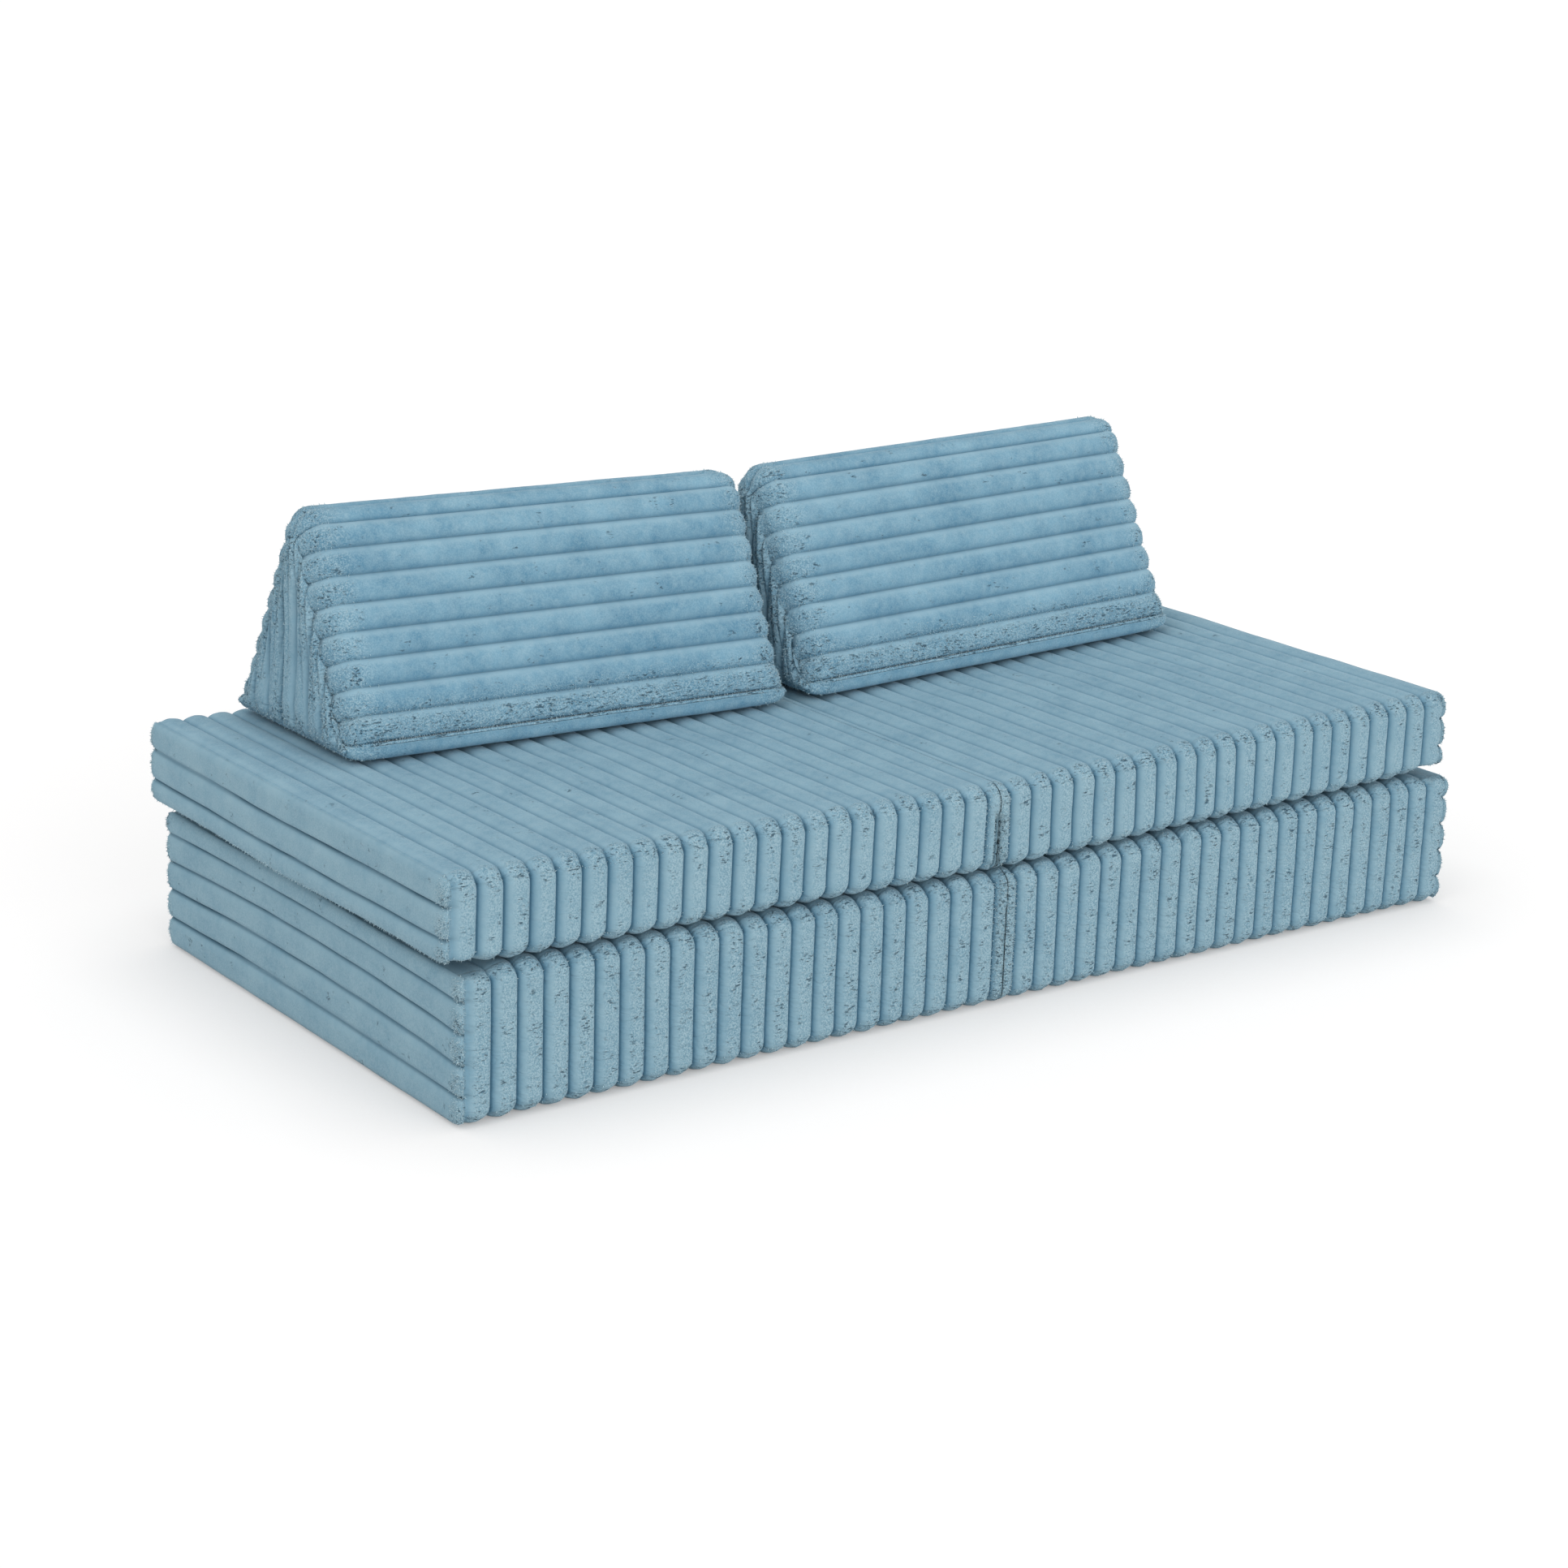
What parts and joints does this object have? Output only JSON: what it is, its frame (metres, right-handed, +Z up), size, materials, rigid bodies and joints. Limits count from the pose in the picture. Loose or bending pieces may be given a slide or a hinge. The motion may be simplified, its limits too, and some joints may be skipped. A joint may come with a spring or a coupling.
{
  "type": "kids play sofa",
  "caption": "Low play sofa of two folding ribbed plush foam mattresses, stacked as base and seat, with triangular bolsters standing end to end as the backrest.",
  "frame": {"origin": "on the floor, under the centre of the sofa's outline", "axes": "+X along the sofa, to the right as seen from the front; +Y from the front to the back; +Z up"},
  "size_m": [1.7017, 0.7998, 0.6367],
  "materials": {
    "plush": "matte",
    "foam": "matte",
    "tape": "matte",
    "coil": "satin",
    "slider": "satin"
  },
  "bodies": {
    "base_left": {"base_left_cover": "plush", "base_left_foam": "foam", "base_left_zip_tape": "tape", "base_left_zip_coil": "coil", "base_hinge_tape": "tape"},
    "base_left_slider": {"base_left_zip_slider": "slider"},
    "base_right": {"base_right_cover": "plush", "base_right_foam": "foam", "base_right_zip_tape": "tape", "base_right_zip_coil": "coil"},
    "base_right_slider": {"base_right_zip_slider": "slider"},
    "seat_left": {"seat_left_cover": "plush", "seat_left_foam": "foam", "seat_left_zip_tape": "tape", "seat_left_zip_coil": "coil", "seat_hinge_tape": "tape"},
    "seat_left_slider": {"seat_left_zip_slider": "slider"},
    "seat_right": {"seat_right_cover": "plush", "seat_right_foam": "foam", "seat_right_zip_tape": "tape", "seat_right_zip_coil": "coil"},
    "seat_right_slider": {"seat_right_zip_slider": "slider"},
    "bolster_left": {"bolster_left_cover": "plush", "bolster_left_foam": "foam", "bolster_left_zip_tape": "tape", "bolster_left_zip_coil": "coil"},
    "bolster_left_slider": {"bolster_left_zip_slider": "slider"},
    "bolster_right": {"bolster_right_cover": "plush", "bolster_right_foam": "foam", "bolster_right_zip_tape": "tape", "bolster_right_zip_coil": "coil"},
    "bolster_right_slider": {"bolster_right_zip_slider": "slider"}
  },
  "joints": [
    {"name": "base_fold", "type": "hinge", "parent": "base_left", "child": "base_right", "pos_m": [0.01102, 0, -0.0005], "axis": [0, 1, 0], "range_deg": [0, 180]},
    {"name": "seat_lift", "type": "slide", "parent": "base_left", "child": "seat_left", "axis": [0, 0, 1], "range_m": [0, 0.25]},
    {"name": "seat_fold", "type": "hinge", "parent": "seat_left", "child": "seat_right", "pos_m": [-0.00898, 0, 0.31062], "axis": [0, -1, 0], "range_deg": [0, 0.8]},
    {"name": "bolster_left_lift", "type": "slide", "parent": "seat_left", "child": "bolster_left", "axis": [0, 0, 1], "range_m": [0, 0.2]},
    {"name": "bolster_right_lift", "type": "slide", "parent": "seat_right", "child": "bolster_right", "axis": [0, 0, 1], "range_m": [0, 0.2]},
    {"name": "base_left_zip", "type": "slide", "parent": "base_left", "child": "base_left_slider", "axis": [1, 0, 0], "range_m": [0, 0.6718]},
    {"name": "base_right_zip", "type": "slide", "parent": "base_right", "child": "base_right_slider", "axis": [-1, 0, 0], "range_m": [0, 0.6718]},
    {"name": "seat_left_zip", "type": "slide", "parent": "seat_left", "child": "seat_left_slider", "axis": [0.9998, 0, -0.0179], "range_m": [0, 0.6718]},
    {"name": "seat_right_zip", "type": "slide", "parent": "seat_right", "child": "seat_right_slider", "axis": [-0.9998, 0, -0.0179], "range_m": [0, 0.6718]},
    {"name": "bolster_left_zip", "type": "slide", "parent": "bolster_left", "child": "bolster_left_slider", "axis": [0.9998, 0, -0.0179], "range_m": [0, 0.5498]},
    {"name": "bolster_right_zip", "type": "slide", "parent": "bolster_right", "child": "bolster_right_slider", "axis": [-0.9992, -0.0349, -0.0178], "range_m": [0, 0.5498]}
  ]
}
